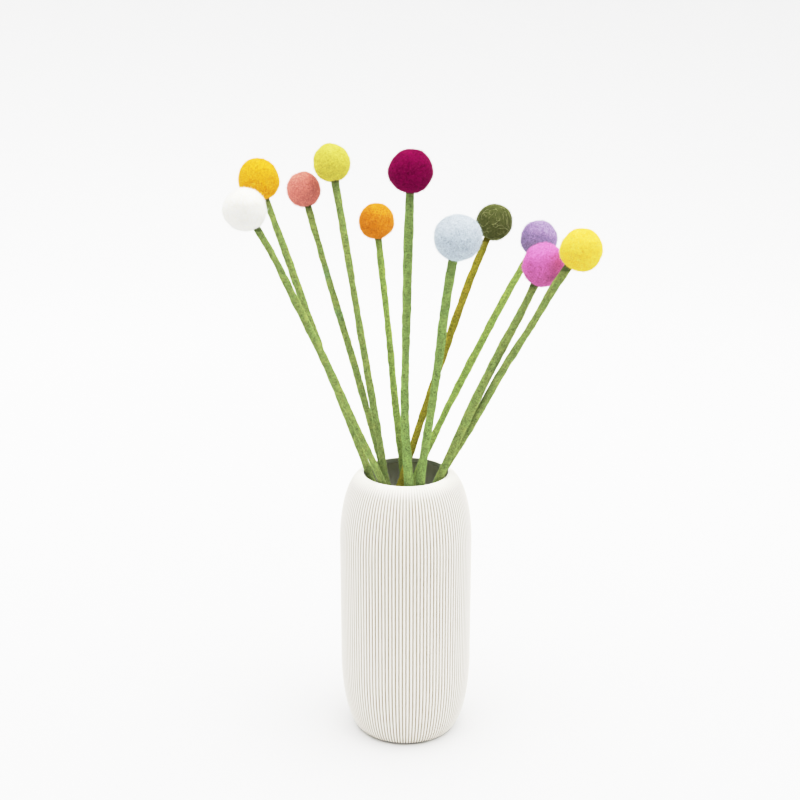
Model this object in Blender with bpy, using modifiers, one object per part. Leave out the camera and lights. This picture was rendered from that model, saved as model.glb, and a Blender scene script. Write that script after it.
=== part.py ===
"""Eleven felted wool balls on felted wire stems, standing together in a ribbed white vase.

The vase stands at the origin with its foot on the ground, +Z up. The flowers are seen from -Y.
Each flower is three pieces: a steel wire, a felt sleeve round it and a felt ball on top.
"""

import math
from collections import namedtuple

import bmesh
import bpy
import numpy as np
from mathutils import Vector, noise

MM = 0.001
PIECE_GAP = 0.3 * MM
WELD_DISTANCE = 0.01 * MM
CUT_PAST = 3 * MM
SMOOTH_BELOW = math.radians(40)

# The vase: a straight-sided body that rounds in to a flat foot and to a wide mouth.
VASE_HEIGHT = 200 * MM
BODY_RADIUS = 47.6 * MM
SHOULDER_START = 148 * MM
SHOULDER_INSET = 17.3 * MM
FOOT_CURVE_TOP = 56 * MM
FOOT_INSET = 14 * MM
CURVE_BANDS = 6

# Its inside: a smooth hollow with a slightly opened lip.
WALL = 3.2 * MM
FLOOR_THICKNESS = 5 * MM
HOLLOW_FOOT_INSET = 10 * MM
MOUTH_RADIUS = 30.1 * MM
LIP_DEPTH = 1 * MM
LIP_OPENING = 0.8 * MM
HOLLOW_STEPS = 40

# The ribs: one ridge and one groove to each, fading out at the lip.
RIB_COUNT = 120
FACETS_PER_RIB = 2
RIB_RISE = 0.35 * MM
RIB_FADE = 4 * MM

# A stem: heights at which its line is read, and the swelling and thinning of its felt.
STATIONS = [height * MM for height in (60, 110, 155, 190, 215, 245, 275, 305, 335, 365)]
STATION_CLEARANCE = 6 * MM
TOP_SAMPLES = 200
SWELL = 0.08
SWELL_LENGTH = 23 * MM
FINE_SWELL = 0.04
FINE_SWELL_LENGTH = 9 * MM
SLEEVE_BEVEL = 2
WIRE_BEVEL = 1
WIRE_RADIUS = 0.75 * MM
BORE_RADIUS = 1.15 * MM

# A ball: how deep the sleeve goes in, where the wire stops, and its lumps.
SOCKET_DEPTH = 3.5 * MM
WIRE_SHORT_OF_CENTRE = 4 * MM
BALL_SUBDIVISIONS = 3
LUMP_RISE = 0.05
LUMP_FREQUENCY = 1.6

VASE_COLOUR = (0.93, 0.92, 0.88)
WIRE_COLOUR = (0.62, 0.62, 0.60)
STEM_COLOUR = (0.58, 0.69, 0.37)
OLIVE_STEM_COLOUR = (0.54, 0.54, 0.20)

# A ball is so many millimetres wide, and its height is a share of that. Its lumps are picked by number.
# A route is in millimetres, x, y, z: the foot on the vase floor, the bend inside the body, the
# crossing of the mouth, the bends above it, and the centre of the ball.
Flower = namedtuple("Flower", "name colour ball_mm tall lumps stem_mm route_mm")
FLOWERS = (
    Flower("mustard", (0.89, 0.71, 0.10), 27.6, 1.02, 214, 4.6,
           ((27, 1, 5), (4, 0.5, 105), (-27, 2, 200), (-41.5, 2, 240), (-60, 2, 290),
            (-76.5, 2, 340), (-99.4, 2, 408))),
    Flower("white", (0.95, 0.93, 0.89), 27.8, 1.0, 13, 4.6,
           ((25, -14, 5), (14, -21.5, 105), (-17, -20, 200), (-33.5, -26, 240), (-54.5, -32, 290),
            (-76.5, -38, 340), (-87.5, -41, 365), (-104, -45, 395))),
    Flower("salmon", (0.86, 0.51, 0.45), 23.2, 1.06, 60, 4.4,
           ((24, 20, 5), (8, 27, 105), (-18, 20, 200), (-28.5, 24, 240), (-42.5, 30, 290),
            (-57, 35, 340), (-72.2, 42, 396))),
    Flower("lime", (0.83, 0.81, 0.32), 25.8, 1.0, 44, 4.6,
           ((6, 7, 5), (-4, 7.5, 105), (-16, 9, 200), (-22.5, 14, 240), (-31, 19, 290),
            (-39, 24, 340), (-51.6, 32, 416))),
    Flower("orange", (0.93, 0.57, 0.18), 25, 1.02, 12, 4.4,
           ((4, 28, 5), (-1, 34, 105), (-3, 26, 200), (-7.5, 31, 240), (-12, 36, 290),
            (-17.5, 42, 340), (-21, 46, 373))),
    Flower("magenta", (0.62, 0.02, 0.38), 28.7, 0.98, 140, 5.4,
           ((-3, -22, 5), (-2, -28, 105), (2, -26, 200), (-0.5, -27, 240), (-0.5, -29, 290),
            (0.5, -31, 340), (2.7, -34, 418))),
    Flower("pale_blue", (0.78, 0.83, 0.88), 31.2, 0.96, 189, 5.4,
           ((9, -21, 5), (9, -29, 105), (10, -24, 200), (15, -29, 240), (21.5, -35, 290),
            (27, -41, 340), (33, -46, 377))),
    Flower("olive", (0.36, 0.40, 0.20), 25.4, 1.02, 175, 4.8,
           ((-30, 9, 5), (-25, 14, 105), (1, 17, 200), (14, 25, 240), (31, 32, 290),
            (49, 39, 340), (63, 44, 372.6))),
    Flower("lavender", (0.70, 0.60, 0.79), 26, 1.0, 16, 4.8,
           ((-25, 19, 5), (-16, 17, 105), (11, 15, 200), (30, 23, 240), (55.5, 31, 290),
            (74, 36, 325), (95, 42, 361))),
    Flower("pink", (0.83, 0.42, 0.73), 29, 1.01, 111, 5.6,
           ((-24, -13, 5), (-10, -16, 105), (24, -11, 200), (41, -12, 240), (63.5, -13, 290),
            (76, -13, 315), (93, -14, 353))),
    Flower("yellow", (0.95, 0.83, 0.26), 27.8, 1.01, 140, 5.0,
           ((-27, -3, 5), (-9, -8, 105), (27, 1, 200), (47.5, -7, 240), (72, -18, 290),
            (85.5, -24, 315), (97.8, -30, 340), (114.6, -36, 367))),
)


def clear_scene():
    for old in list(bpy.data.objects):
        bpy.data.objects.remove(old, do_unlink=True)


def new_collection(name):
    collection = bpy.data.collections.new(name)
    bpy.context.scene.collection.children.link(collection)
    return collection


def new_material(name, screen_colour, roughness, metallic=0.0):
    """A plain material, from a colour given as it looks on a screen."""
    linear = [part / 12.92 if part < 0.04 else ((part + 0.055) / 1.055) ** 2.4 for part in screen_colour]
    material = bpy.data.materials.new(name)
    material.use_nodes = True
    material.diffuse_color = (*linear, 1.0)
    shader = material.node_tree.nodes["Principled BSDF"]
    shader.inputs["Base Color"].default_value = (*linear, 1.0)
    shader.inputs["Roughness"].default_value = roughness
    shader.inputs["Metallic"].default_value = metallic
    return material


def dress(obj, material):
    """Gives the object its material and shades it round, with its real edges left sharp."""
    obj.data.materials.clear()
    obj.data.materials.append(material)
    obj.data.shade_smooth()
    obj.data.set_sharp_from_angle(angle=SMOOTH_BELOW)


def as_mesh(obj):
    """Puts a welded mesh object in the place of a curve or of an object with modifiers."""
    graph = bpy.context.evaluated_depsgraph_get()
    mesh = bpy.data.meshes.new_from_object(obj.evaluated_get(graph))
    work = bmesh.new()
    work.from_mesh(mesh)
    bmesh.ops.remove_doubles(work, verts=work.verts, dist=WELD_DISTANCE)
    bmesh.ops.recalc_face_normals(work, faces=work.faces)
    work.to_mesh(mesh)
    work.free()
    name, place, collection = obj.name, obj.matrix_world.copy(), obj.users_collection[0]
    bpy.data.objects.remove(obj, do_unlink=True)
    solid = bpy.data.objects.new(name, mesh)
    solid.matrix_world = place
    collection.objects.link(solid)
    return solid


def mark_as_cutter(obj):
    obj.hide_render = True
    obj.display_type = "WIRE"
    return obj


def cut(obj, cutter):
    modifier = obj.modifiers.new("Cut by " + cutter.name, "BOOLEAN")
    modifier.operation = "DIFFERENCE"
    modifier.object = cutter


def turned(name, outline, steps, collection):
    """A solid turned round Z from an outline of (radius, height) points, listed from top to bottom."""
    mesh = bpy.data.meshes.new(name)
    corners = [(radius, 0.0, height) for radius, height in outline]
    mesh.from_pydata(corners, [(index, index + 1) for index in range(len(corners) - 1)], [])
    obj = bpy.data.objects.new(name, mesh)
    collection.objects.link(obj)
    screw = obj.modifiers.new("Turn", "SCREW")
    screw.steps = steps
    screw.render_steps = steps
    screw.use_merge_vertices = True
    screw.merge_threshold = 0.1 * MM
    return as_mesh(obj)


def tube(name, points, radii, bevel_resolution, collection):
    """A closed round tube along the points. Its bevel is 1 m deep, so a point's radius is in metres."""
    curve = bpy.data.curves.new(name, "CURVE")
    curve.dimensions = "3D"
    curve.bevel_depth = 1.0
    curve.bevel_resolution = bevel_resolution
    curve.use_fill_caps = True
    spline = curve.splines.new("POLY")
    spline.points.add(len(points) - 1)
    for point, place, radius in zip(spline.points, points, radii):
        point.co = (*place, 1.0)
        point.radius = radius
    obj = bpy.data.objects.new(name, curve)
    collection.objects.link(obj)
    return as_mesh(obj)


def quarter_turns():
    """The angles that divide a quarter turn into CURVE_BANDS."""
    return [math.radians(90) * step / CURVE_BANDS for step in range(CURVE_BANDS + 1)]


def outside_outline():
    neck = BODY_RADIUS - SHOULDER_INSET
    base = BODY_RADIUS - FOOT_INSET
    rise = VASE_HEIGHT - SHOULDER_START
    shoulder = [
        (neck + SHOULDER_INSET * math.sin(turn), SHOULDER_START + rise * math.cos(turn))
        for turn in quarter_turns()
    ]
    foot = [
        (base + FOOT_INSET * math.cos(turn), FOOT_CURVE_TOP * (1 - math.sin(turn)))
        for turn in quarter_turns()
    ]
    return [(0.0, VASE_HEIGHT), *shoulder, *foot, (0.0, 0.0)]


def hollow_outline():
    body = BODY_RADIUS - WALL
    ceiling = VASE_HEIGHT - WALL
    flare = MOUTH_RADIUS + LIP_OPENING * (LIP_DEPTH + CUT_PAST) / LIP_DEPTH
    above = VASE_HEIGHT + CUT_PAST
    mouth = [(0.0, above), (flare, above), (MOUTH_RADIUS, VASE_HEIGHT - LIP_DEPTH)]
    shoulder = [
        (MOUTH_RADIUS + (body - MOUTH_RADIUS) * math.sin(turn),
         SHOULDER_START + (ceiling - SHOULDER_START) * math.cos(turn))
        for turn in quarter_turns()
    ]
    foot = [
        (body - HOLLOW_FOOT_INSET * (1 - math.cos(turn)),
         FOOT_CURVE_TOP - (FOOT_CURVE_TOP - FLOOR_THICKNESS) * math.sin(turn))
        for turn in quarter_turns()
    ]
    return [*mouth, *shoulder, *foot, (0.0, FLOOR_THICKNESS)]


def raise_ribs(mesh):
    """Moves each column of the outside wall out for a ridge or in for a groove, with a groove at -Y."""
    moves = []
    for vertex in mesh.vertices:
        radius = math.hypot(vertex.co.x, vertex.co.y)
        angle = math.atan2(vertex.co.y, vertex.co.x)
        fade = min(1.0, (VASE_HEIGHT - vertex.co.z) / RIB_FADE)
        rise = -RIB_RISE * fade * radius / BODY_RADIUS * math.cos(RIB_COUNT * angle)
        moves.append(vertex.normal * rise)
    for vertex, move in zip(mesh.vertices, moves):
        on_ground = vertex.co.z < WELD_DISTANCE
        vertex.co += Vector((move.x, move.y, 0.0)) if on_ground else move


def build_vase(parts, cutters):
    vase = turned("vase", outside_outline(), RIB_COUNT * FACETS_PER_RIB, parts)
    raise_ribs(vase.data)
    hollow = mark_as_cutter(turned("vase_hollow", hollow_outline(), HOLLOW_STEPS, cutters))
    cut(vase, hollow)
    dress(vase, new_material("vase ceramic", VASE_COLOUR, roughness=0.45))


class Route:
    """A stem's centre line: a natural cubic curve through its points, read by height."""

    def __init__(self, points):
        self.points = np.array(sorted(points, key=lambda point: point[2]))
        heights = self.points[:, 2]
        steps = np.diff(heights)
        slopes = np.diff(self.points, axis=0) / steps[:, None]
        count = len(heights)
        matrix = np.eye(count)
        wanted = np.zeros((count, 3))
        for row in range(1, count - 1):
            matrix[row, row - 1:row + 2] = steps[row - 1], 2 * (steps[row - 1] + steps[row]), steps[row]
            wanted[row] = 6 * (slopes[row] - slopes[row - 1])
        self.bends = np.linalg.solve(matrix, wanted)

    def at(self, height):
        heights = self.points[:, 2]
        low = int(np.clip(np.searchsorted(heights, height) - 1, 0, len(heights) - 2))
        span = heights[low + 1] - heights[low]
        above = height - heights[low]
        below = heights[low + 1] - height
        place = (self.bends[low] * below**3 + self.bends[low + 1] * above**3) / (6 * span)
        place += (self.points[low] / span - self.bends[low] * span / 6) * below
        place += (self.points[low + 1] / span - self.bends[low + 1] * span / 6) * above
        return Vector(place)

    def direction(self, height):
        return (self.at(height + MM) - self.at(height)).normalized()

    def height_near_top(self, distance):
        """The height at which the line is that far from its top end, the centre of the ball."""
        top = self.points[-1]
        heights = np.linspace(top[2] - 2 * distance, top[2], TOP_SAMPLES)
        gaps = [(self.at(height) - Vector(top)).length for height in heights]
        return float(np.interp(-distance, np.negative(gaps), heights))

    def stretch(self, low, high):
        """Heights along the line from low to high, with the stations between them."""
        inner = [at for at in STATIONS if low + STATION_CLEARANCE < at < high - STATION_CLEARANCE]
        return [low, *inner, high]


def sleeve_radius(flower, phase, height):
    swell = 1 + SWELL * math.sin(height / SWELL_LENGTH + phase)
    swell += FINE_SWELL * math.sin(height / FINE_SWELL_LENGTH + 2 * phase)
    return flower.stem_mm / 2 * MM * swell


def build_ball(flower, material, parts):
    bpy.ops.mesh.primitive_ico_sphere_add(subdivisions=BALL_SUBDIVISIONS, radius=flower.ball_mm / 2 * MM)
    ball = bpy.context.object
    ball.name = flower.name + "_ball"
    ball.data.name = ball.name
    ball.users_collection[0].objects.unlink(ball)
    parts.objects.link(ball)
    pattern = Vector((flower.lumps, 0.5, 0.5))
    for vertex in ball.data.vertices:
        lump = noise.noise(vertex.co.normalized() * LUMP_FREQUENCY + pattern)
        vertex.co *= 1 + LUMP_RISE * lump
        vertex.co.z *= flower.tall
    ball.location = [along * MM for along in flower.route_mm[-1]]
    dress(ball, material)
    return ball


def build_flower(flower, phase, felt, stem_felt, steel, parts, cutters):
    route = Route([[along * MM for along in point] for point in flower.route_mm])
    ball_radius = flower.ball_mm / 2 * MM
    foot = FLOOR_THICKNESS + PIECE_GAP
    lean = math.sqrt(1 - route.direction(foot).z ** 2)
    foot += sleeve_radius(flower, phase, foot) * lean
    sleeve_top = route.height_near_top(ball_radius - SOCKET_DEPTH)
    wire_top = route.height_near_top(WIRE_SHORT_OF_CENTRE)

    def along(name, low, high, radius_at, bevel_resolution, collection):
        heights = route.stretch(low, high)
        points = [route.at(height) for height in heights]
        radii = [radius_at(height) for height in heights]
        return tube(flower.name + name, points, radii, bevel_resolution, collection)

    def felt_radius(height):
        return sleeve_radius(flower, phase, height)

    sleeve = along("_sleeve", foot, sleeve_top, felt_radius, SLEEVE_BEVEL, parts)
    wire = along("_wire", foot, wire_top, lambda height: WIRE_RADIUS, WIRE_BEVEL, parts)
    bore = along("_bore", foot - CUT_PAST, wire_top + PIECE_GAP,
                 lambda height: BORE_RADIUS, WIRE_BEVEL, cutters)
    socket = along("_socket", sleeve_top - 3 * SOCKET_DEPTH, sleeve_top + PIECE_GAP,
                   lambda height: felt_radius(height) + PIECE_GAP, SLEEVE_BEVEL, cutters)
    ball = build_ball(flower, felt, parts)
    for cutter in (bore, socket):
        mark_as_cutter(cutter)
        cut(ball, cutter)
    cut(sleeve, bore)
    dress(sleeve, stem_felt)
    dress(wire, steel)


def main():
    clear_scene()
    parts = new_collection("felt_billy_buttons_in_vase")
    cutters = new_collection("cutters")
    build_vase(parts, cutters)
    steel = new_material("stem wire", WIRE_COLOUR, roughness=0.35, metallic=1.0)
    green_felt = new_material("green stem felt", STEM_COLOUR, roughness=0.95)
    olive_felt = new_material("olive stem felt", OLIVE_STEM_COLOUR, roughness=0.95)
    for phase, flower in enumerate(FLOWERS):
        felt = new_material(flower.name + " felt", flower.colour, roughness=0.95)
        stem_felt = olive_felt if flower.name == "olive" else green_felt
        build_flower(flower, phase, felt, stem_felt, steel, parts, cutters)
    cutters.hide_render = True


main()
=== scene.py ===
"""The looks of a bunch of felt billy buttons in a ribbed vase: felt and its fibres, glaze, floor and light.

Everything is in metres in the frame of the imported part: the vase stands at the origin with +Z up, and the
camera looks from -Y. Felt pieces follow the same lines and sizes as the solids that they stand for.
"""

import math
from collections import namedtuple

import bmesh
import bpy
import numpy as np
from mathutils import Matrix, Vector, noise


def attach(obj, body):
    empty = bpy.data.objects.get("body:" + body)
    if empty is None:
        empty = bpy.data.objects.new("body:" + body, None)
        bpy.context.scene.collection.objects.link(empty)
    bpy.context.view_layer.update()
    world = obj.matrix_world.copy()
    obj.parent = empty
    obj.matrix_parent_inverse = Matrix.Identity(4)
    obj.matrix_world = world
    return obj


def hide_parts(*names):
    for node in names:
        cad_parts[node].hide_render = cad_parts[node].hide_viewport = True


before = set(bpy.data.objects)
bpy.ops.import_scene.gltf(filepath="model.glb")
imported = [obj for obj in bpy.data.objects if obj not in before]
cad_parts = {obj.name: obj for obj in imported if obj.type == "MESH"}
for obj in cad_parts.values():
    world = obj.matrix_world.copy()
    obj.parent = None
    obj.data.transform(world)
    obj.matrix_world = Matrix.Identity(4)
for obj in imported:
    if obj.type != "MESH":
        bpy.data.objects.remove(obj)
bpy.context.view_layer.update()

MM = 0.001

# The camera, fitted to the vase's outline, mouth and ribs.
CAMERA_PLACE = (-4.2 * MM, -889.6 * MM, 521.5 * MM)
CAMERA_PITCH = math.radians(73.24)
CAMERA_LENS_MM = 59.2
CAMERA_SENSOR_MM = 36.0

# The vase: the same outline as its solid.
VASE_HEIGHT = 200 * MM
BODY_RADIUS = 47.6 * MM
SHOULDER_START = 148 * MM
SHOULDER_INSET = 17.3 * MM
FOOT_CURVE_TOP = 56 * MM
FOOT_INSET = 14 * MM
WALL = 3.2 * MM
FLOOR_THICKNESS = 5 * MM
HOLLOW_FOOT_INSET = 10 * MM
MOUTH_RADIUS = 30.1 * MM
LIP_ROUND = 0.5 * MM
SHOULDER_OFF_LIP = 0.3 * MM

# How many bands of faces each stretch of its outline has, and the angle from which an edge is sharp.
LIP_BANDS = 5
SHOULDER_BANDS = 30
BODY_BANDS = 4
FOOT_BANDS = 22
INSIDE_BANDS = 9
SHARP_EDGE = math.radians(50)

# Its ribs end just under the lip. Near the ground they stand out level, so that none goes below it.
RIB_COUNT = 120
COLUMNS_PER_RIB = 8
RIDGE_RISE = 0.35 * MM
GROOVE_DEPTH = 0.55 * MM
RIDGE_ROUNDNESS = 0.75
RIB_FADE = 1.0 * MM
GROUND_BLEND = 12 * MM

# The stems: swelling and thinning of the felt, as in the solids, then its soft outside with finer lumps,
# which come in three sizes: how much finer each is, and how high.
SWELL = 0.08
SWELL_LENGTH = 23 * MM
FINE_SWELL = 0.04
FINE_SWELL_LENGTH = 9 * MM
STEM_PUFF = 0.25 * MM
STEM_LUMP = 0.27 * MM
STEM_LUMP_LENGTH = 3.2 * MM
STEM_LUMP_SIZES = ((0.4, 1.3), (1.0, 1.0), (2.7, 0.5))
STEM_SEED_STEP = 7.3
STEM_SIDES = 24
RING_STEP = 1.6 * MM
PIECE_GAP = 0.3 * MM

# Down in the vase, where it isn't seen, a stem has fewer rings and no fibres.
HIDDEN_BELOW = 165 * MM
HIDDEN_RING_STEP = 8 * MM

# The balls: lumps as in the solids, with dents, a fine tangle and a pinched collar round the stem.
SOCKET_DEPTH = 3.5 * MM
BALL_SUBDIVISIONS = 6
LUMP_RISE = 0.05
LUMP_FREQUENCY = 1.6
DENT_RISE = 0.22 * MM
DENT_LENGTH = 4.5 * MM
TANGLE_DEPTH = 0.28 * MM
TANGLE_LENGTH = 1.3 * MM
TANGLE_WARP = 1.2
TANGLE_WARP_LENGTH = 2.6 * MM
COLLAR_DEPTH = 0.9 * MM
COLLAR_WIDTH = 1.0 * MM

# The tone is the felt's colour on a screen. A ball is so many millimetres wide, and its height is a share
# of that. A route is in millimetres, x, y, z, from the foot on the vase floor to the centre of the ball.
Flower = namedtuple("Flower", "name tone ball_mm tall lumps stem_mm route_mm")
FLOWERS = (
    Flower("mustard", (0.87, 0.54, 0.07), 27.6, 1.02, 214, 4.6,
           ((27, 1, 5), (4, 0.5, 105), (-27, 2, 200), (-41.5, 2, 240), (-60, 2, 290),
            (-76.5, 2, 340), (-99.4, 2, 408))),
    Flower("white", (1.0, 0.985, 0.905), 27.8, 1.0, 13, 4.6,
           ((25, -14, 5), (14, -21.5, 105), (-17, -20, 200), (-33.5, -26, 240), (-54.5, -32, 290),
            (-76.5, -38, 340), (-87.5, -41, 365), (-104, -45, 395))),
    Flower("salmon", (0.72, 0.42, 0.38), 23.2, 1.06, 60, 4.4,
           ((24, 20, 5), (8, 27, 105), (-18, 20, 200), (-28.5, 24, 240), (-42.5, 30, 290),
            (-57, 35, 340), (-72.2, 42, 396))),
    Flower("lime", (0.725, 0.67, 0.26), 25.8, 1.0, 44, 4.6,
           ((6, 7, 5), (-4, 7.5, 105), (-16, 9, 200), (-22.5, 14, 240), (-31, 19, 290),
            (-39, 24, 340), (-51.6, 32, 416))),
    Flower("orange", (0.79, 0.44, 0.085), 25, 1.02, 12, 4.4,
           ((4, 28, 5), (-1, 34, 105), (-3, 26, 200), (-7.5, 31, 240), (-12, 36, 290),
            (-17.5, 42, 340), (-21, 46, 373))),
    Flower("magenta", (0.39, 0.0, 0.2), 28.7, 0.98, 140, 5.4,
           ((-3, -22, 5), (-2, -28, 105), (2, -26, 200), (-0.5, -27, 240), (-0.5, -29, 290),
            (0.5, -31, 340), (2.7, -34, 418))),
    Flower("pale_blue", (0.61, 0.655, 0.7), 31.2, 0.96, 189, 5.4,
           ((9, -21, 5), (9, -29, 105), (10, -24, 200), (15, -29, 240), (21.5, -35, 290),
            (27, -41, 340), (33, -46, 377))),
    Flower("olive", (0.27, 0.287, 0.145), 25.4, 1.02, 175, 4.8,
           ((-30, 9, 5), (-25, 14, 105), (1, 17, 200), (14, 25, 240), (31, 32, 290),
            (49, 39, 340), (63, 44, 372.6))),
    Flower("lavender", (0.49, 0.422, 0.558), 26, 1.0, 16, 4.8,
           ((-25, 19, 5), (-16, 17, 105), (11, 15, 200), (30, 23, 240), (55.5, 31, 290),
            (74, 36, 325), (95, 42, 361))),
    Flower("pink", (0.71, 0.36, 0.575), 29, 1.01, 111, 5.6,
           ((-24, -13, 5), (-10, -16, 105), (24, -11, 200), (41, -12, 240), (63.5, -13, 290),
            (76, -13, 315), (93, -14, 353))),
    Flower("yellow", (1.0, 0.71, 0.23), 27.8, 1.01, 140, 5.0,
           ((-27, -3, 5), (-9, -8, 105), (27, 1, 200), (47.5, -7, 240), (72, -18, 290),
            (85.5, -24, 315), (97.8, -30, 340), (114.6, -36, 367))),
)

# Stem felt, as it looks on a screen: its own colour and the colour of its patches. The salmon flower's stem
# also has two bluish bands, at these heights.
GREEN_STEM = ((0.43, 0.497, 0.275), (0.55, 0.57, 0.315))
COOL_STEM = ((0.415, 0.50, 0.272), (0.515, 0.578, 0.318))
YELLOW_STEM = ((0.45, 0.53, 0.27), (0.56, 0.61, 0.32))
OLIVE_STEM = ((0.46, 0.44, 0.13), (0.55, 0.48, 0.17))
STEM_COLOURS = {
    "magenta": COOL_STEM,
    "pale_blue": COOL_STEM,
    "lavender": YELLOW_STEM,
    "orange": YELLOW_STEM,
    "olive": OLIVE_STEM,
}
BLUISH = (0.33, 0.50, 0.37)
BLUISH_BANDS = (309 * MM, 337 * MM)
BLUISH_REACH = 7 * MM
BLUISH_MOST = 0.8

# The light that felt gives back, as shares of its tone: the felt itself, the painted shade of its hollows,
# less dark in a pale felt, and the painted light of its top fibres. A lift adds white, most of all to a pale
# tone.
FELT_SHARE = 0.96
SHADE_SHARE = 0.36
PALE_SHADE_SHARE = 0.55
LIGHT_SHARE = 1.5
LIGHT_LIFT = 0.015
SHEEN_LIFT = 0.05
SHEEN_ROUGHNESS = 0.3
# Painted light on loose fibres: the least and the most lit, each as a share of the tone and a lift.
LEAST_LIT_FIBRE = (1.15, 0.01)
MOST_LIT_FIBRE = (2.3, 0.07)

# The pattern of the felt: how long its clouds, spots and tangles are, where in a noise each begins and is
# full, and how strongly it shows. Where spots and tangles are low, in the hollows of its bumps, they take
# painted shade, and where tangles are high, painted light. Strands of painted light curl over it, each kind
# so long and so strong.
FELT_CLOUD = 6 * MM
FELT_SPOT = 2.2 * MM
FELT_TANGLE = 1.1 * MM
CLOUD_SPAN = (0.35, 0.65)
PAINTED_SHADE_SPOT_SPAN = (0.58, 0.32)
PAINTED_SHADE_TANGLE_SPAN = (0.52, 0.32)
PAINTED_LIGHT_TANGLE_SPAN = (0.50, 0.70)
CLOUD_MOST = 0.15
PATCH_MOST = 0.85
TANGLE_MOST = 0.65
STEM_CONTRAST = 1.25
PAINTED_LIGHT_STRANDS = ((2.8 * MM, 0.65), (1.9 * MM, 0.5))
STRAND_WIDTH = 0.05
FELT_BUMP = 0.45 * MM
SPOT_BUMP_SHARE = 1.5
FIBRE_PATCH = 1.5 * MM

# Painted shade: a stem is painted a little darker below its joint with the ball, where the ball shades it,
# and a thin painted shadow darkens it most at the joint.
PAINTED_JOINT_SHADE = 10 * MM
PAINTED_JOINT_SHADE_MOST = 0.2
PAINTED_SLIT_SHADOW = 0.6 * MM
PAINTED_SLIT_SHADOW_SHARE = 0.45

# The glaze, outside and inside: its colour and the colour of its clouds and specks.
GLAZE = ((0.955, 0.941, 0.902), (0.94, 0.922, 0.88))
INSIDE_GLAZE = ((0.91, 0.90, 0.87), (0.84, 0.83, 0.80))
GLAZE_CLOUD = 18 * MM
GLAZE_CLOUD_SPAN = (0.35, 0.7)
GLAZE_SPECK_SPAN = (0.45, 0.75)
GLAZE_ROUGH_SPAN = (0.3, 0.7)
GLAZE_BUMP = 0.03 * MM

# Painted shade: the grooves are painted a darker, warm grey for the shade that falls in them. Across a rib, 0
# is the middle of a groove and 0.5 the top of a ridge. There is none of it at the lip, and it is full this
# far below.
# The inside has a band of painted shade under the lip, which is full down to one depth and ends at the other.
PAINTED_GROOVE_SHADE = (0.63, 0.585, 0.52)
PAINTED_GROOVE_SHADE_SPAN = (0.47, 0.02)
PAINTED_GROOVE_SHADE_FADE = 9 * MM
# Painted shade: a dark band inside under the lip, where the pale glaze is shaded.
PAINTED_INSIDE_SHADE = (0.42, 0.43, 0.36)
PAINTED_INSIDE_SHADE_FULL = 2.7 * MM
PAINTED_INSIDE_SHADE_END = 5 * MM

# The wires: drawn steel, with fine lines that are drawn out along them.
STEEL = ((0.64, 0.64, 0.62), (0.50, 0.50, 0.48))
STEEL_LINE = 0.2 * MM
STEEL_LINE_SPAN = (0.3, 0.7)
STEEL_STRETCH = 0.05

# The fibres that stand off the felt: a short straight nap and longer bent ones. A low rise leans a fibre
# over, and a high one stands it up.
Fibres = namedtuple("Fibres", "count shortest longest lowest_rise highest_rise bent")
BALL_NAP = Fibres(4200, 0.7 * MM, 1.8 * MM, 0.4, 2.0, False)
BALL_BENT = Fibres(900, 1.6 * MM, 3.6 * MM, 0.1, 1.0, True)
STEM_NAP = Fibres(3600, 0.6 * MM, 1.4 * MM, 0.3, 1.6, False)
STEM_BENT = Fibres(200, 1.4 * MM, 2.6 * MM, 0.2, 1.2, True)
FIBRE_RADIUS = 0.05 * MM
FIBRE_WIDTHS = (0.7, 1.2)
FIBRE_ROOT = 0.15 * MM
BEND_AT = 0.55
BEND_WIDTH = 0.75
BEND_AHEAD = 0.6
BEND_DROP = 0.5
BEND_RISE = 0.8
THIRDS = (0, 2 * math.pi / 3, 4 * math.pi / 3)

# The long fibres that curl over a ball: they grow step by step, each with a bend that wanders.
CURL_COUNT = 60
OLIVE_CURL_COUNT = 150
OLIVE_CURL = (0.55, 0.56, 0.36)
CURL_STEP = 0.55 * MM
CURL_STEPS = (6, 20)
CURL_BEND = 0.24
CURL_WANDER = 0.06
CURL_RADIUS = 0.06 * MM
CURL_END = 0.3
CURL_LIFT = 0.05 * MM

# Seeds: where each kind of random draw starts. Noise with a direction would start from the clock without one.
NOISE_SEED = 1
BALL_FIBRE_SEED = 100
STEM_FIBRE_SEED = 200
CURL_SEED = 300
BENT_SEED_STEP = 1000
FELT_SEED_STEP = 10.0
STEM_FELT_SEED = 5.0

# The studio, in metres: a round floor that curves up into a wall, and two cards behind the camera.
FLOOR_COLOUR = ((0.872, 0.872, 0.872), (0.866, 0.866, 0.864))
FLOOR_CLOUD = 0.4
FLOOR_RINGS = (0.02, 0.4, 1.7)
COVE_ROUND = 0.9
COVE_TOP = 2.4
COVE_SIDES = 96
COVE_BANDS = 12
CARD_SIZE = (3.0, 1.5)
CARD_LOW = 0.2
CARD_CLOUD = 0.3
CARDS = (
    ("dark_card", -1.35, ((0.19, 0.19, 0.19), (0.17, 0.17, 0.17))),
    ("pale_card", -1.37, ((0.95, 0.95, 0.95), (0.94, 0.94, 0.94))),
)

# The lights: the room, a wide soft ceiling and two softboxes, by name, place in metres and power in watts.
WORLD_LIGHT = 0.95
CEILING_LIGHT = 8.3
CEILING_WIDTH = math.radians(80)
CEILING_FROM = (0.08, -0.15, 1.0)
SOFTBOXES = (
    ("left_softbox", (-1.5, 0.0, 0.9), 3.0),
    ("right_softbox", (1.5, 0.0, 0.9), 7.0),
)
SOFTBOX_SIZE = (1.2, 1.4)
SOFTBOX_TARGET = (0.0, 0.0, 0.25)

# How bright a light is seen, as pairs of light and picture, both linear.
RESPONSE = (
    (0.0, 0.0), (0.1, 0.1), (0.3, 0.3), (0.6, 0.57), (1.0, 0.745),
    (1.6, 0.86), (2.2, 0.935), (3.0, 0.985),
)


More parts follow.
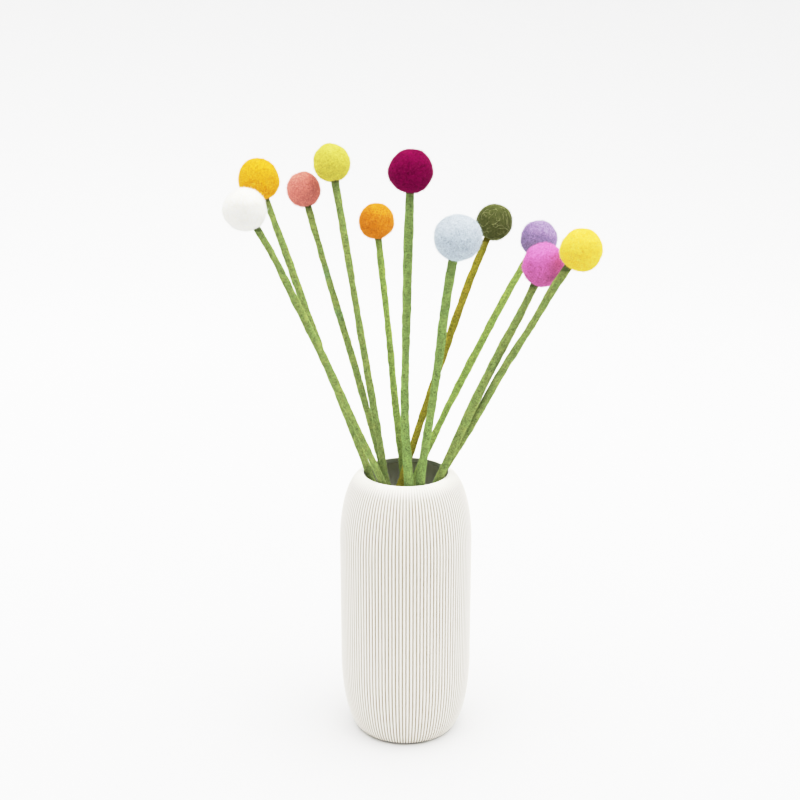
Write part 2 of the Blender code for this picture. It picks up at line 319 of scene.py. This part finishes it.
def linear(screen_colour, share=1.0, lift=0.0):
    """A colour as it looks on a screen, as the light that a shader works with, with its alpha."""
    values = [part / 12.92 if part < 0.04 else ((part + 0.055) / 1.055) ** 2.4 for part in screen_colour]
    return (*[min(1.0, value * share + lift) for value in values], 1.0)


def lighter(tone, share, lift):
    """A tone in a stronger light, and paler as well where the tone itself is a pale one."""
    return linear(tone, share, lift * sum(linear(tone)[:3]))


class Nodes:
    """Adds nodes to one material and joins them."""

    def __init__(self, name):
        self.material = bpy.data.materials.new(name)
        self.material.use_nodes = True
        self.tree = self.material.node_tree
        self.shader = self.tree.nodes["Principled BSDF"]
        self.place = self.tree.nodes.new("ShaderNodeTexCoord").outputs["Object"]

    def add(self, kind, **values):
        """A new node with some settings of its own."""
        node = self.tree.nodes.new(kind)
        for key, value in values.items():
            setattr(node, key, value)
        return node

    def join(self, source, target):
        self.tree.links.new(source, target)

    def noise(self, length, detail=2.0, roughness=0.5, distortion=0.0, place=None, seed=0.0):
        """A noise whose lumps are about that long."""
        node = self.add("ShaderNodeTexNoise", noise_dimensions="4D")
        node.inputs["W"].default_value = seed
        node.inputs["Scale"].default_value = 1 / length
        node.inputs["Detail"].default_value = detail
        node.inputs["Roughness"].default_value = roughness
        node.inputs["Distortion"].default_value = distortion
        self.join(place or self.place, node.inputs["Vector"])
        return node.outputs["Fac"]

    def between(self, source, low, high):
        """Spreads what lies from low to high over 0 to 1."""
        node = self.add("ShaderNodeMapRange", interpolation_type="SMOOTHSTEP")
        node.inputs["From Min"].default_value = low
        node.inputs["From Max"].default_value = high
        self.join(source, node.inputs["Value"])
        return node.outputs["Result"]

    def mix(self, amount, first, second, most=1.0):
        """A mix of two colours, from the first to at most that share of the second."""
        node = self.add("ShaderNodeMix", data_type="RGBA")
        scaled = self.math("MULTIPLY", amount, most)
        self.join(scaled, node.inputs["Factor"])
        for socket, colour in ((node.inputs[6], first), (node.inputs[7], second)):
            if isinstance(colour, tuple):
                socket.default_value = colour
            else:
                self.join(colour, socket)
        return node.outputs[2]

    def math(self, operation, first, second):
        """A sum on two values, each a number or what another node gives."""
        node = self.add("ShaderNodeMath", operation=operation)
        for socket, value in zip(node.inputs, (first, second)):
            if isinstance(value, (int, float)):
                socket.default_value = value
            else:
                self.join(value, socket)
        return node.outputs["Value"]

    def strands(self, length, seed):
        """Thin curling lines, where a noise passes through its middle."""
        off_middle = self.math("SUBTRACT", self.noise(length, detail=1, distortion=1.2, seed=seed), 0.5)
        return self.between(self.math("ABSOLUTE", off_middle, 0.0), STRAND_WIDTH, 0.0)

    def split(self):
        """X, Y and Z of the place on the piece."""
        node = self.add("ShaderNodeSeparateXYZ")
        self.join(self.place, node.inputs[0])
        return node.outputs

    def height(self):
        return self.split()["Z"]

    def bump(self, height, distance, strength=1.0):
        node = self.add("ShaderNodeBump")
        node.inputs["Distance"].default_value = distance
        node.inputs["Strength"].default_value = strength
        self.join(height, node.inputs["Height"])
        self.join(node.outputs["Normal"], self.shader.inputs["Normal"])

    def colour(self, colour):
        self.join(colour, self.shader.inputs["Base Color"])

    def values(self, **values):
        """Values that are the same all over, set on the shader itself."""
        for key, value in values.items():
            self.shader.inputs[key.replace("_", " ")].default_value = value


def felt_material(name, tone, seed, contrast=1.0, patch=None, joint=None, bands=()):
    """Wool felt: a mottled tangle of fibres in its own tone, with painted shade in the hollows of its bumps,
    painted light on their tops and curling strands of painted light on top.

    A stem's felt has patches of its own, perhaps bluish bands round some heights, and painted shade just
    below the height of its joint with the ball, darkest in a thin painted shadow at the joint.
    """
    nodes = Nodes(name)
    base = linear(tone, FELT_SHARE)
    shade = linear(tone, SHADE_SHARE + PALE_SHADE_SHARE * sum(base[:3]) / 3)
    light = lighter(tone, LIGHT_SHARE, LIGHT_LIFT)
    cloud = nodes.noise(FELT_CLOUD, detail=1, seed=seed)
    spot = nodes.noise(FELT_SPOT, detail=2, distortion=1.0, seed=seed + 1)
    tangle = nodes.noise(FELT_TANGLE, detail=1, distortion=1.5, seed=seed + 2)
    most = TANGLE_MOST * contrast
    clouded = nodes.between(cloud, *CLOUD_SPAN)
    if patch:
        colour = nodes.mix(clouded, base, linear(patch), PATCH_MOST)
    else:
        colour = nodes.mix(clouded, base, light, CLOUD_MOST)
    for band in bands:
        off_band = nodes.math("ABSOLUTE", nodes.math("SUBTRACT", nodes.height(), band), 0.0)
        colour = nodes.mix(nodes.between(off_band, BLUISH_REACH, 0.0), colour, linear(BLUISH), BLUISH_MOST)
    # Painted shade in the hollows of the bumps, and painted light on their tops and in the strands below.
    colour = nodes.mix(nodes.between(spot, *PAINTED_SHADE_SPOT_SPAN), colour, shade, most)
    colour = nodes.mix(nodes.between(tangle, *PAINTED_SHADE_TANGLE_SPAN), colour, shade, most)
    colour = nodes.mix(nodes.between(tangle, *PAINTED_LIGHT_TANGLE_SPAN), colour, light, most)
    for number, (length, strength) in enumerate(PAINTED_LIGHT_STRANDS):
        colour = nodes.mix(nodes.strands(length, seed + 3 + number), colour, light, strength)
    # Painted shade below the joint with the ball, and a thin painted shadow at the joint itself.
    if joint:
        height = nodes.height()
        painted_joint_shade = nodes.between(height, joint - PAINTED_JOINT_SHADE, joint)
        colour = nodes.mix(painted_joint_shade, colour, shade, PAINTED_JOINT_SHADE_MOST)
        painted_slit_shadow = nodes.between(height, joint - PAINTED_SLIT_SHADOW, joint)
        colour = nodes.mix(painted_slit_shadow, colour, linear(tone, PAINTED_SLIT_SHADOW_SHARE))
    nodes.colour(colour)
    relief = nodes.math("ADD", tangle, nodes.math("MULTIPLY", spot, SPOT_BUMP_SHARE))
    nodes.bump(relief, FELT_BUMP, strength=0.8)
    nodes.values(Roughness=0.95, Specular_IOR_Level=0.03)
    nodes.values(Sheen_Weight=1.0, Sheen_Roughness=SHEEN_ROUGHNESS)
    nodes.values(Sheen_Tint=lighter(tone, LIGHT_SHARE, SHEEN_LIFT))
    return nodes.material


def fibre_material(name, tone, seed):
    """Loose fibres of the felt, each a little lighter or darker than the next, all painted lighter than the
    felt for the light that they catch.
    """
    nodes = Nodes(name)
    each = nodes.noise(FIBRE_PATCH, detail=1, seed=seed)
    # Painted light: every fibre is lighter than the felt, from the least lit to the most lit.
    least_lit = lighter(tone, *LEAST_LIT_FIBRE)
    most_lit = lighter(tone, *MOST_LIT_FIBRE)
    nodes.colour(nodes.mix(nodes.between(each, *CLOUD_SPAN), least_lit, most_lit))
    nodes.values(Roughness=0.9, Specular_IOR_Level=0.03)
    return nodes.material


def glaze_material(name, colours, roughness, speck_length):
    """Glaze with faint clouds and small uneven spots: its nodes and its colour, still to be joined."""
    nodes = Nodes(name)
    tone, shade = [linear(colour) for colour in colours]
    cloud = nodes.noise(GLAZE_CLOUD, detail=3)
    speck = nodes.noise(speck_length, detail=3)
    colour = nodes.mix(nodes.between(cloud, *GLAZE_CLOUD_SPAN), tone, shade, most=0.35)
    colour = nodes.mix(nodes.between(speck, *GLAZE_SPECK_SPAN), colour, shade, most=0.4)
    spread = nodes.math("MULTIPLY", nodes.between(speck, *GLAZE_ROUGH_SPAN), 0.12)
    nodes.join(nodes.math("ADD", spread, roughness), nodes.shader.inputs["Roughness"])
    nodes.bump(speck, GLAZE_BUMP, strength=0.5)
    nodes.values(Specular_IOR_Level=0.3)
    return nodes, colour


def outside_glaze():
    """White glaze with painted shade, a warm grey, down in the grooves, less of it near the lip."""
    nodes, colour = glaze_material("matt white glaze", GLAZE, roughness=0.6, speck_length=1.2 * MM)
    place = nodes.split()
    turn = nodes.math("ARCTAN2", place["X"], nodes.math("MULTIPLY", place["Y"], -1.0))
    rib = nodes.math("MULTIPLY", turn, RIB_COUNT / (2 * math.pi))
    across = nodes.math("PINGPONG", rib, 0.5)
    # Painted shade: a warm grey in the grooves, fading out towards the lip.
    painted_groove_shade = nodes.between(across, *PAINTED_GROOVE_SHADE_SPAN)
    below_lip = nodes.between(place["Z"], VASE_HEIGHT, VASE_HEIGHT - PAINTED_GROOVE_SHADE_FADE)
    nodes.colour(nodes.mix(nodes.math("MULTIPLY", painted_groove_shade, below_lip), colour, linear(PAINTED_GROOVE_SHADE)))
    return nodes.material


def inside_glaze():
    """The pale glaze of the inside, with a band of painted shade under the lip."""
    nodes, colour = glaze_material("pale inside glaze with painted shade", INSIDE_GLAZE, roughness=0.4, speck_length=5 * MM)
    # Painted shade: a dark band under the lip, over the pale glaze.
    band = nodes.between(nodes.height(), VASE_HEIGHT - PAINTED_INSIDE_SHADE_END, VASE_HEIGHT - PAINTED_INSIDE_SHADE_FULL)
    nodes.colour(nodes.mix(band, colour, linear(PAINTED_INSIDE_SHADE), most=0.95))
    return nodes.material


def steel_material():
    """Drawn wire, with fine lines along it."""
    nodes = Nodes("drawn steel wire")
    stretch = nodes.add("ShaderNodeMapping")
    stretch.inputs["Scale"].default_value = (1, 1, STEEL_STRETCH)
    nodes.join(nodes.place, stretch.inputs["Vector"])
    line = nodes.noise(STEEL_LINE, detail=2, place=stretch.outputs["Vector"])
    nodes.colour(nodes.mix(nodes.between(line, *STEEL_LINE_SPAN), *map(linear, STEEL)))
    nodes.join(nodes.math("ADD", nodes.math("MULTIPLY", line, 0.2), 0.2), nodes.shader.inputs["Roughness"])
    nodes.values(Metallic=1.0)
    return nodes.material


def floor_material():
    """A pale floor with the faintest clouds."""
    nodes = Nodes("studio floor")
    cloud = nodes.noise(FLOOR_CLOUD, detail=2)
    nodes.colour(nodes.mix(cloud, *map(linear, FLOOR_COLOUR)))
    nodes.values(Roughness=0.9, Specular_IOR_Level=0.1)
    return nodes.material


def mesh_object(name, vertices, faces, *materials, face_material=None):
    """A smooth mesh piece in the scene. face_material has the number of each face's material."""
    mesh = bpy.data.meshes.new(name)
    mesh.from_pydata(np.asarray(vertices).tolist(), [], [tuple(face) for face in faces])
    for material in materials:
        mesh.materials.append(material)
    if face_material is not None:
        mesh.polygons.foreach_set("material_index", np.asarray(face_material, np.int32))
    mesh.shade_smooth()
    mesh.validate()
    obj = bpy.data.objects.new(name, mesh)
    bpy.context.scene.collection.objects.link(obj)
    return obj


def belongs(obj, slot, *nodes):
    """The piece takes the place of these nodes, which are hidden, and moves with the vase. The slot is not
    used.
    """
    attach(obj, "root")
    if nodes:
        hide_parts(*nodes)


def ring_faces(rings, sides, closed_low=True, closed_high=True):
    """Faces between rings of the same number of corners, and a fan over each closed end."""
    faces = []
    for ring in range(rings - 1):
        low = ring * sides
        for side in range(sides):
            after = (side + 1) % sides
            faces.append((low + side, low + after, low + sides + after, low + sides + side))
    if closed_low:
        faces.append(tuple(reversed(range(sides))))
    if closed_high:
        faces.append(tuple((rings - 1) * sides + side for side in range(sides)))
    return faces


def icosphere(subdivisions):
    """Directions all round a ball, and the triangles between them."""
    work = bmesh.new()
    bmesh.ops.create_icosphere(work, subdivisions=subdivisions, radius=1.0)
    directions = np.array([vertex.co for vertex in work.verts])
    faces = np.array([[vertex.index for vertex in face.verts] for face in work.faces])
    work.free()
    return directions, faces


def triangles_of(obj):
    """The corners of each triangle of a piece."""
    mesh = obj.data
    mesh.calc_loop_triangles()
    corners = np.zeros(len(mesh.vertices) * 3)
    mesh.vertices.foreach_get("co", corners)
    triangles = np.zeros(len(mesh.loop_triangles) * 3, np.int32)
    mesh.loop_triangles.foreach_get("vertices", triangles)
    return corners.reshape(-1, 3)[triangles.reshape(-1, 3)]


def unit(vectors):
    """The same directions, each with length 1."""
    return vectors / np.maximum(np.linalg.norm(vectors, axis=1, keepdims=True), 1e-12)


def scatter(felt, count, random, above):
    """Places spread evenly over the part of a piece above a height, with the way out from the piece there."""
    triangles = triangles_of(felt)
    triangles = triangles[triangles[:, :, 2].min(axis=1) > above]
    across = np.cross(triangles[:, 1] - triangles[:, 0], triangles[:, 2] - triangles[:, 0])
    area = np.linalg.norm(across, axis=1)
    chosen = random.choice(len(triangles), count, p=area / area.sum())
    share = random.random((count, 2))
    share[share.sum(axis=1) > 1] = 1 - share[share.sum(axis=1) > 1]
    corners = triangles[chosen]
    place = corners[:, 0] + share[:, :1] * (corners[:, 1] - corners[:, 0])
    place += share[:, 1:] * (corners[:, 2] - corners[:, 0])
    return place, unit(across[chosen])


def grow_fibres(felt, fibres, seed, above):
    """Corners and faces of thin closed three-sided spikes that start inside the felt and lean off it."""
    random = np.random.default_rng(seed)
    count = fibres.count
    place, outward = scatter(felt, count, random, above)
    along = unit(np.cross(outward, random.normal(size=(count, 3))))
    turned = unit(np.cross(outward, along) * random.normal(size=(count, 1)) + along * BEND_AHEAD)
    rise = random.uniform(fibres.lowest_rise, fibres.highest_rise, size=(count, 1))
    length = random.uniform(fibres.shortest, fibres.longest, size=(count, 1))
    first = unit(along + outward * rise)
    second = unit(turned + outward * (rise - BEND_DROP) * BEND_RISE) if fibres.bent else first
    side = unit(np.cross(first, outward) + 1e-9)
    other = np.cross(first, side)
    radius = random.uniform(*FIBRE_WIDTHS, size=(count, 1)) * FIBRE_RADIUS
    root = place - outward * FIBRE_ROOT
    bend = root + first * length * BEND_AT
    tip = bend + second * length * (1 - BEND_AT)
    rings = [(root, 1.0), (bend, BEND_WIDTH)] if fibres.bent else [(root, 1.0)]
    corners = []
    for centre, wide in rings:
        for turn in THIRDS:
            corners.append(centre + (side * math.cos(turn) + other * math.sin(turn)) * radius * wide)
    vertices = np.stack([*corners, tip], axis=1).reshape(-1, 3)
    last = len(corners)
    spike = [(2, 1, 0)]
    for corner in range(3):
        after = (corner + 1) % 3
        spike.append((last - 3 + corner, last - 3 + after, last))
        if fibres.bent:
            spike.append((corner, after, 3 + after, 3 + corner))
    starts = range(0, count * (last + 1), last + 1)
    return vertices, [tuple(start + corner for corner in face) for start in starts for face in spike]


def build_fuzz(name, felt, nap, bent, material, seed, above=0.0):
    """The straight and the bent fibres on one felt piece, as one piece of their own."""
    vertices, faces = grow_fibres(felt, nap, seed, above)
    more, more_faces = grow_fibres(felt, bent, seed + BENT_SEED_STEP, above)
    faces += [tuple(len(vertices) + corner for corner in face) for face in more_faces]
    return mesh_object(name, np.concatenate([vertices, more]), faces, material)


def turns(bands):
    """Even steps over a quarter turn."""
    return [math.radians(90) * step / bands for step in range(bands + 1)]


def rib_height(column):
    """How far a column of the wall stands out: a rounded ridge with a narrow groove on each side."""
    across = (column % COLUMNS_PER_RIB) / COLUMNS_PER_RIB
    roundness = abs(math.sin(math.pi * across)) ** RIDGE_ROUNDNESS
    return -GROOVE_DEPTH + (RIDGE_RISE + GROOVE_DEPTH) * roundness


def vase_outline():
    """Points of the wall from the middle of the foot up the outside, over the lip and down the inside.

    Each is (radius, height, outward x, outward z, share of the ribs, inside or not).
    """
    neck = BODY_RADIUS - SHOULDER_INSET
    base = BODY_RADIUS - FOOT_INSET
    rise = VASE_HEIGHT - SHOULDER_START
    outline = [(0.0, 0.0, 0.0, -1.0, 0.0, False)]

    def add(radius, height, across, up, inside=False):
        size = math.hypot(across, up)
        level = min(1.0, height / GROUND_BLEND)
        up = up / size * level
        below_lip = min(1.0, max(0.0, (VASE_HEIGHT - height) / RIB_FADE))
        ribs = 0.0 if inside else below_lip * radius / BODY_RADIUS
        outline.append((radius, height, math.sqrt(1 - up * up), up, ribs, inside))

    for turn in reversed(turns(FOOT_BANDS)):
        add(base + FOOT_INSET * math.cos(turn), FOOT_CURVE_TOP * (1 - math.sin(turn)),
            FOOT_CURVE_TOP * math.cos(turn), -FOOT_INSET * math.sin(turn))
    for band in range(1, BODY_BANDS):
        add(BODY_RADIUS, FOOT_CURVE_TOP + (SHOULDER_START - FOOT_CURVE_TOP) * band / BODY_BANDS, 1.0, 0.0)
    lip_centre = (MOUTH_RADIUS + LIP_ROUND, VASE_HEIGHT - LIP_ROUND)
    for turn in reversed(turns(SHOULDER_BANDS)):
        radius = neck + SHOULDER_INSET * math.sin(turn)
        if radius > lip_centre[0] + SHOULDER_OFF_LIP:
            add(radius, SHOULDER_START + rise * math.cos(turn),
                rise * math.sin(turn), SHOULDER_INSET * math.cos(turn))
    for band in range(LIP_BANDS + 1):
        turn = math.radians(90 + 90 * band / LIP_BANDS)
        add(lip_centre[0] + LIP_ROUND * math.cos(turn), lip_centre[1] + LIP_ROUND * math.sin(turn),
            1.0, 0.0, band > 1)
    body = BODY_RADIUS - WALL
    ceiling = VASE_HEIGHT - WALL
    for turn in turns(INSIDE_BANDS):
        add(MOUTH_RADIUS + (body - MOUTH_RADIUS) * math.sin(turn),
            SHOULDER_START + (ceiling - SHOULDER_START) * math.cos(turn), 1.0, 0.0, True)
    for turn in turns(INSIDE_BANDS):
        add(body - HOLLOW_FOOT_INSET * (1 - math.cos(turn)),
            FOOT_CURVE_TOP - (FOOT_CURVE_TOP - FLOOR_THICKNESS) * math.sin(turn), 1.0, 0.0, True)
    outline.append((0.0, FLOOR_THICKNESS, 0.0, 1.0, 0.0, True))
    return outline


def build_vase():
    """The vase in one piece: its outline turned round the axis, with the ribs standing off it."""
    columns = RIB_COUNT * COLUMNS_PER_RIB
    outline = vase_outline()
    angles = -math.pi / 2 + np.arange(columns) * 2 * math.pi / columns
    ribs = np.array([rib_height(column) for column in range(columns)])
    rows = []
    for radius, height, across, up, share, _ in outline[1:-1]:
        reach = radius + ribs * share * across
        level = np.full(columns, height) + ribs * share * up
        rows.append(np.stack([reach * np.cos(angles), reach * np.sin(angles), level], axis=1))
    vertices = np.concatenate([*rows, [[0, 0, 0], [0, 0, FLOOR_THICKNESS]]])
    faces = ring_faces(len(rows), columns, closed_low=False, closed_high=False)
    inside = [outline[ring + 1][5] for ring in range(len(rows) - 1) for _ in range(columns)]
    foot, floor = len(vertices) - 2, len(vertices) - 1
    top = (len(rows) - 1) * columns
    for column in range(columns):
        after = (column + 1) % columns
        faces += [(foot, after, column), (floor, top + column, top + after)]
        inside += [False, True]
    vase = mesh_object("ribbed_vase", vertices, faces, outside_glaze(), inside_glaze(), face_material=inside)
    vase.data.set_sharp_from_angle(angle=SHARP_EDGE)
    belongs(vase, "vase_ceramic", "vase")


class Route:
    """A stem's centre line: a natural cubic curve through its points, read by height."""

    def __init__(self, points):
        self.points = np.array(sorted(points, key=lambda point: point[2]))
        heights = self.points[:, 2]
        steps = np.diff(heights)
        slopes = np.diff(self.points, axis=0) / steps[:, None]
        count = len(heights)
        matrix = np.eye(count)
        wanted = np.zeros((count, 3))
        for row in range(1, count - 1):
            matrix[row, row - 1:row + 2] = steps[row - 1], 2 * (steps[row - 1] + steps[row]), steps[row]
            wanted[row] = 6 * (slopes[row] - slopes[row - 1])
        self.bends = np.linalg.solve(matrix, wanted)

    def at(self, height):
        heights = self.points[:, 2]
        low = int(np.clip(np.searchsorted(heights, height) - 1, 0, len(heights) - 2))
        span = heights[low + 1] - heights[low]
        above = height - heights[low]
        below = heights[low + 1] - height
        place = (self.bends[low] * below**3 + self.bends[low + 1] * above**3) / (6 * span)
        place += (self.points[low] / span - self.bends[low] * span / 6) * below
        place += (self.points[low + 1] / span - self.bends[low + 1] * span / 6) * above
        return Vector(place)

    def direction(self, height):
        return (self.at(height + MM) - self.at(height)).normalized()


def sleeve_radius(flower, phase, height):
    """The radius of a stem's solid at a height."""
    swell = 1 + SWELL * math.sin(height / SWELL_LENGTH + phase)
    swell += FINE_SWELL * math.sin(height / FINE_SWELL_LENGTH + 2 * phase)
    return flower.stem_mm / 2 * MM * swell


def build_stem(flower, phase, route, material):
    """A felted tube along the route, from the vase floor to inside the ball."""
    foot = FLOOR_THICKNESS + PIECE_GAP
    lean = math.sqrt(1 - route.direction(foot).z ** 2)
    foot += (sleeve_radius(flower, phase, foot) + STEM_PUFF) * lean
    ball = route.at(flower.route_mm[-1][2] * MM)
    reach = flower.ball_mm / 2 * MM - SOCKET_DEPTH
    heights = list(np.arange(foot, HIDDEN_BELOW, HIDDEN_RING_STEP))
    height = HIDDEN_BELOW
    while (route.at(height) - ball).length > reach and height < ball.z:
        heights.append(height)
        height += RING_STEP
    seed = Vector((STEM_SEED_STEP * phase, 0, 0))
    vertices = []
    for height in heights:
        centre = route.at(height)
        along = route.direction(height)
        side = along.cross(Vector((0, 1, 0))).normalized()
        other = side.cross(along)
        for step in range(STEM_SIDES):
            turn = 2 * math.pi * step / STEM_SIDES
            outward = side * math.cos(turn) - other * math.sin(turn)
            radius = sleeve_radius(flower, phase, height) + STEM_PUFF
            spot = (centre + outward * radius) / STEM_LUMP_LENGTH + seed
            radius += STEM_LUMP * sum(rise * noise.noise(spot * finer) for finer, rise in STEM_LUMP_SIZES)
            vertices.append(centre + outward * radius)
    return mesh_object(flower.name + "_felt_stem", vertices, ring_faces(len(heights), STEM_SIDES), material)


def ball_surface(flower, entry, direction):
    """A place on a felted ball: soft lumps, dents, a fine tangle and a pinched collar round the stem."""
    size = flower.ball_mm / 2 * MM
    seed = Vector((flower.lumps, 0.5, 0.5))
    radius = size * (1 + LUMP_RISE * noise.noise(direction * LUMP_FREQUENCY + seed))
    spot = direction * size
    radius += DENT_RISE * noise.noise(spot / DENT_LENGTH + seed)
    warp = noise.noise_vector(spot / TANGLE_WARP_LENGTH + seed) * TANGLE_WARP
    radius -= TANGLE_DEPTH * abs(noise.noise(spot / TANGLE_LENGTH + warp + seed))
    off_stem = (direction - entry * direction.dot(entry)).length * size
    if direction.dot(entry) > 0:
        off_felt = max(0.0, off_stem - flower.stem_mm / 2 * MM - STEM_PUFF)
        near = max(0.0, 1 - off_felt / COLLAR_WIDTH)
        radius -= COLLAR_DEPTH * near * near
    place = direction * radius
    place.z *= flower.tall
    return Vector(flower.route_mm[-1]) * MM + place


def build_ball(flower, entry, directions, faces, material):
    """A felted ball, with its stem coming in at the entry."""
    vertices = [ball_surface(flower, entry, Vector(direction)) for direction in directions]
    return mesh_object(flower.name + "_felt_ball", vertices, faces, material)


def build_curls(flower, entry, count, material, seed):
    """Long fibres that curl over the ball, each a thin closed tube half sunk in the felt."""
    random = np.random.default_rng(seed)
    step = CURL_STEP / (flower.ball_mm / 2 * MM)
    vertices, faces = [], []
    for _ in range(count):
        direction = Vector(random.normal(size=3)).normalized()
        heading = direction.cross(Vector(random.normal(size=3))).normalized()
        bend = random.uniform(-CURL_BEND, CURL_BEND)
        steps = int(random.integers(*CURL_STEPS))
        start = len(vertices)
        for ring in range(steps):
            across = direction.cross(heading)
            radius = CURL_RADIUS * (CURL_END if ring in (0, steps - 1) else 1.0)
            centre = ball_surface(flower, entry, direction) + direction * CURL_LIFT
            for turn in THIRDS:
                vertices.append(centre + (across * math.cos(turn) + direction * math.sin(turn)) * radius)
            bend += random.normal() * CURL_WANDER
            heading = (heading + across * bend).normalized()
            ahead = (direction + heading * step).normalized()
            heading = (heading - ahead * heading.dot(ahead)).normalized()
            direction = ahead
        faces += [tuple(start + corner for corner in face) for face in ring_faces(steps, 3)]
    return mesh_object(flower.name + "_curls", vertices, faces, material)


def build_flower(flower, number, directions, faces):
    """One flower: its stem and its ball, each with the fibres that stand off it."""
    name = flower.name
    route = Route([[along * MM for along in point] for point in flower.route_mm])
    seed = FELT_SEED_STEP * number
    stem_seed = STEM_FELT_SEED + seed
    ball_felt = felt_material(name + " felt", flower.tone, seed)
    ball_loose = fibre_material(name + " fibres", flower.tone, seed)
    tone, patch = STEM_COLOURS.get(name, GREEN_STEM)
    joint = (flower.route_mm[-1][2] - flower.ball_mm * flower.tall / 2) * MM
    bands = BLUISH_BANDS if name == "salmon" else ()
    stem_felt = felt_material(name + " stem felt", tone, stem_seed, STEM_CONTRAST, patch, joint, bands)
    stem_loose = fibre_material(name + " stem fibres", tone, stem_seed)
    ball_slot = "felt_" + name
    stem_slot = "stem_felt_olive" if name == "olive" else "stem_felt_green"

    stem = build_stem(flower, number, route, stem_felt)
    belongs(stem, stem_slot, name + "_sleeve")
    centre = Vector(flower.route_mm[-1]) * MM
    entry = (route.at(centre.z - flower.ball_mm / 2 * MM) - centre).normalized()
    ball = build_ball(flower, entry, directions, faces, ball_felt)
    belongs(ball, ball_slot, name + "_ball")
    fuzz = build_fuzz(name + "_ball_fibres", ball, BALL_NAP, BALL_BENT, ball_loose, BALL_FIBRE_SEED + number)
    belongs(fuzz, ball_slot)
    curl_count = CURL_COUNT
    curl_felt = ball_loose
    if name == "olive":
        curl_count = OLIVE_CURL_COUNT
        curl_felt = fibre_material("olive curls", OLIVE_CURL, seed=0.0)
    curls = build_curls(flower, entry, curl_count, curl_felt, CURL_SEED + number)
    belongs(curls, ball_slot)
    fuzz = build_fuzz(name + "_stem_fibres", stem, STEM_NAP, STEM_BENT, stem_loose, STEM_FIBRE_SEED + number,
                      above=HIDDEN_BELOW)
    belongs(fuzz, stem_slot)


def build_studio():
    """A round pale floor that curves up into a wall, far from the vase."""
    outline = [(radius, 0.0) for radius in FLOOR_RINGS]
    for turn in turns(COVE_BANDS)[1:]:
        outline.append((FLOOR_RINGS[-1] + COVE_ROUND * math.sin(turn), COVE_ROUND * (1 - math.cos(turn))))
    outline.append((FLOOR_RINGS[-1] + COVE_ROUND, COVE_TOP))
    vertices = []
    for radius, height in outline:
        for side in range(COVE_SIDES):
            turn = 2 * math.pi * side / COVE_SIDES
            vertices.append((radius * math.cos(turn), radius * math.sin(turn), height))
    faces = [tuple(reversed(face)) for face in ring_faces(len(outline), COVE_SIDES, closed_high=False)]
    floor = mesh_object("studio_floor", vertices, faces, floor_material())


def build_card(name, depth, colours):
    """A wide upright card behind the camera that isn't seen itself.

    The dark one shades the side of the felt that faces it a little, and the pale one keeps the wall behind
    it bright.
    """
    wide, high = CARD_SIZE
    corners = [(-wide / 2, depth, CARD_LOW), (wide / 2, depth, CARD_LOW),
               (wide / 2, depth, CARD_LOW + high), (-wide / 2, depth, CARD_LOW + high)]
    nodes = Nodes(name)
    nodes.colour(nodes.mix(nodes.noise(CARD_CLOUD), *map(linear, colours)))
    nodes.values(Roughness=0.9)
    card = mesh_object(name, corners, [(0, 1, 2, 3)], nodes.material)
    card.visible_camera = False


def add_light(data, turned):
    """Puts a light in the scene, turned that way."""
    light = bpy.data.objects.new(data.name, data)
    light.rotation_euler = turned.to_euler()
    bpy.context.scene.collection.objects.link(light)
    return light


def build_light():
    """A soft ceiling as the main light, a pale room round it and weaker softboxes."""
    world = bpy.data.worlds.new("studio")
    world.use_nodes = True
    background = world.node_tree.nodes["Background"]
    background.inputs["Color"].default_value = (1.0, 1.0, 1.0, 1.0)
    background.inputs["Strength"].default_value = WORLD_LIGHT
    bpy.context.scene.world = world
    ceiling = bpy.data.lights.new("soft_ceiling", "SUN")
    ceiling.energy = CEILING_LIGHT
    ceiling.angle = CEILING_WIDTH
    add_light(ceiling, Vector(CEILING_FROM).to_track_quat("Z", "Y"))
    for name, place, watts in SOFTBOXES:
        softbox = bpy.data.lights.new(name, "AREA")
        softbox.shape = "RECTANGLE"
        softbox.size, softbox.size_y = SOFTBOX_SIZE
        softbox.energy = watts
        light = add_light(softbox, (Vector(SOFTBOX_TARGET) - Vector(place)).to_track_quat("-Z", "Y"))
        light.location = place
        light.visible_camera = False


def build_response():
    """Light on the picture: straight for dark tones, rolled off softly for bright ones."""
    settings = bpy.context.scene.view_settings
    settings.view_transform = "Standard"
    settings.look = "None"
    settings.use_curve_mapping = True
    response = settings.curve_mapping
    brightest = RESPONSE[-1][0]
    response.white_level = (brightest, brightest, brightest)
    curve = response.curves[3]
    curve.points[0].location = (0.0, 0.0)
    curve.points[1].location = (1.0, RESPONSE[-1][1])
    for light, seen in RESPONSE[1:-1]:
        curve.points.new(light / brightest, seen)
    response.update()


def build_camera():
    """A camera that sees the bunch as the photo does."""
    data = bpy.data.cameras.new("camera")
    data.lens = CAMERA_LENS_MM
    data.sensor_width = CAMERA_SENSOR_MM
    camera = bpy.data.objects.new("camera", data)
    camera.location = CAMERA_PLACE
    camera.rotation_euler = (CAMERA_PITCH, 0.0, 0.0)
    bpy.context.scene.collection.objects.link(camera)
    bpy.context.scene.camera = camera


def finish_wires():
    """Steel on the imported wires, which are inside the stems and have no piece of their own here."""
    steel = steel_material()
    for name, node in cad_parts.items():
        if name.endswith("_wire"):
            node.data.materials.clear()
            node.data.materials.append(steel)


def main():
    noise.seed_set(NOISE_SEED)
    build_camera()
    build_studio()
    for name, depth, colours in CARDS:
        build_card(name, depth, colours)
    build_light()
    build_response()
    build_vase()
    directions, faces = icosphere(BALL_SUBDIVISIONS)
    for number, flower in enumerate(FLOWERS):
        build_flower(flower, number, directions, faces)
    finish_wires()


main()
